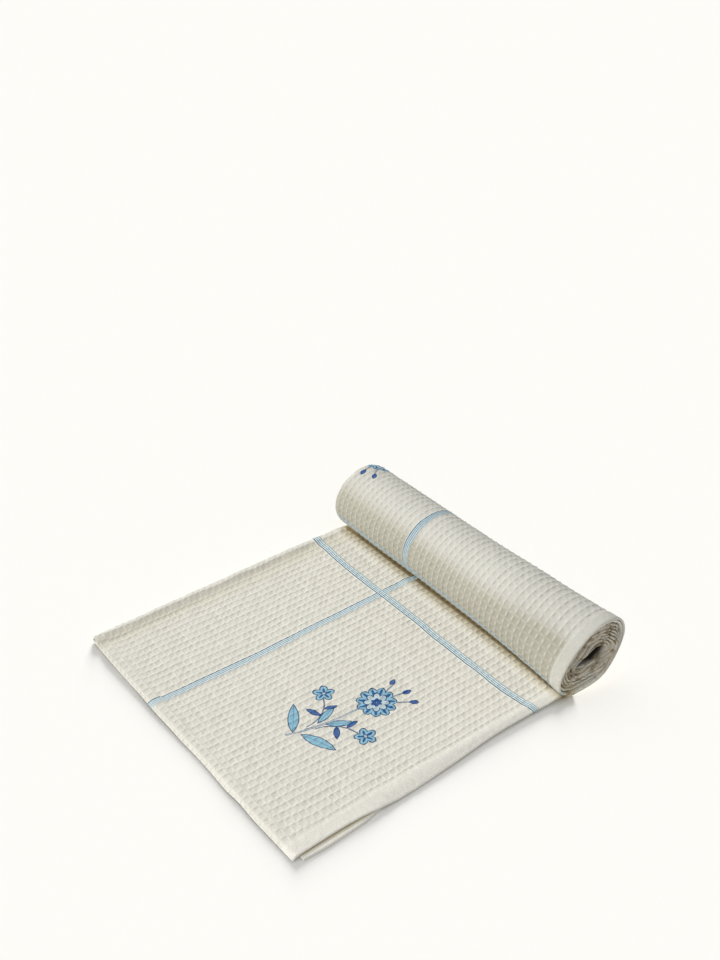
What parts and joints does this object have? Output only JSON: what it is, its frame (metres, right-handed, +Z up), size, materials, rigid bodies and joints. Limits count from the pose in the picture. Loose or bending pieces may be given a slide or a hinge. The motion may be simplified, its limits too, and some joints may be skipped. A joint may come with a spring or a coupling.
{
  "type": "bath towel",
  "caption": "Waffle-weave bath towel with a fine windowpane stripe and a sprig motif, folded lengthwise and rolled up from one end, the other end lying flat in front of the roll.",
  "frame": {"origin": "centre of the towel's outline, on the surface that it lies on", "axes": "+X across the towel from its fold to its open edges, which is also along the roll; +Y along the towel from the front hem to the back of the roll; +Z up"},
  "size_m": [0.4552, 0.5024, 0.1048],
  "materials": {
    "waffle_cloth": "matt cream waffle weave"
  },
  "bodies": {
    "root": {"towel": "waffle_cloth"}
  },
  "joints": []
}
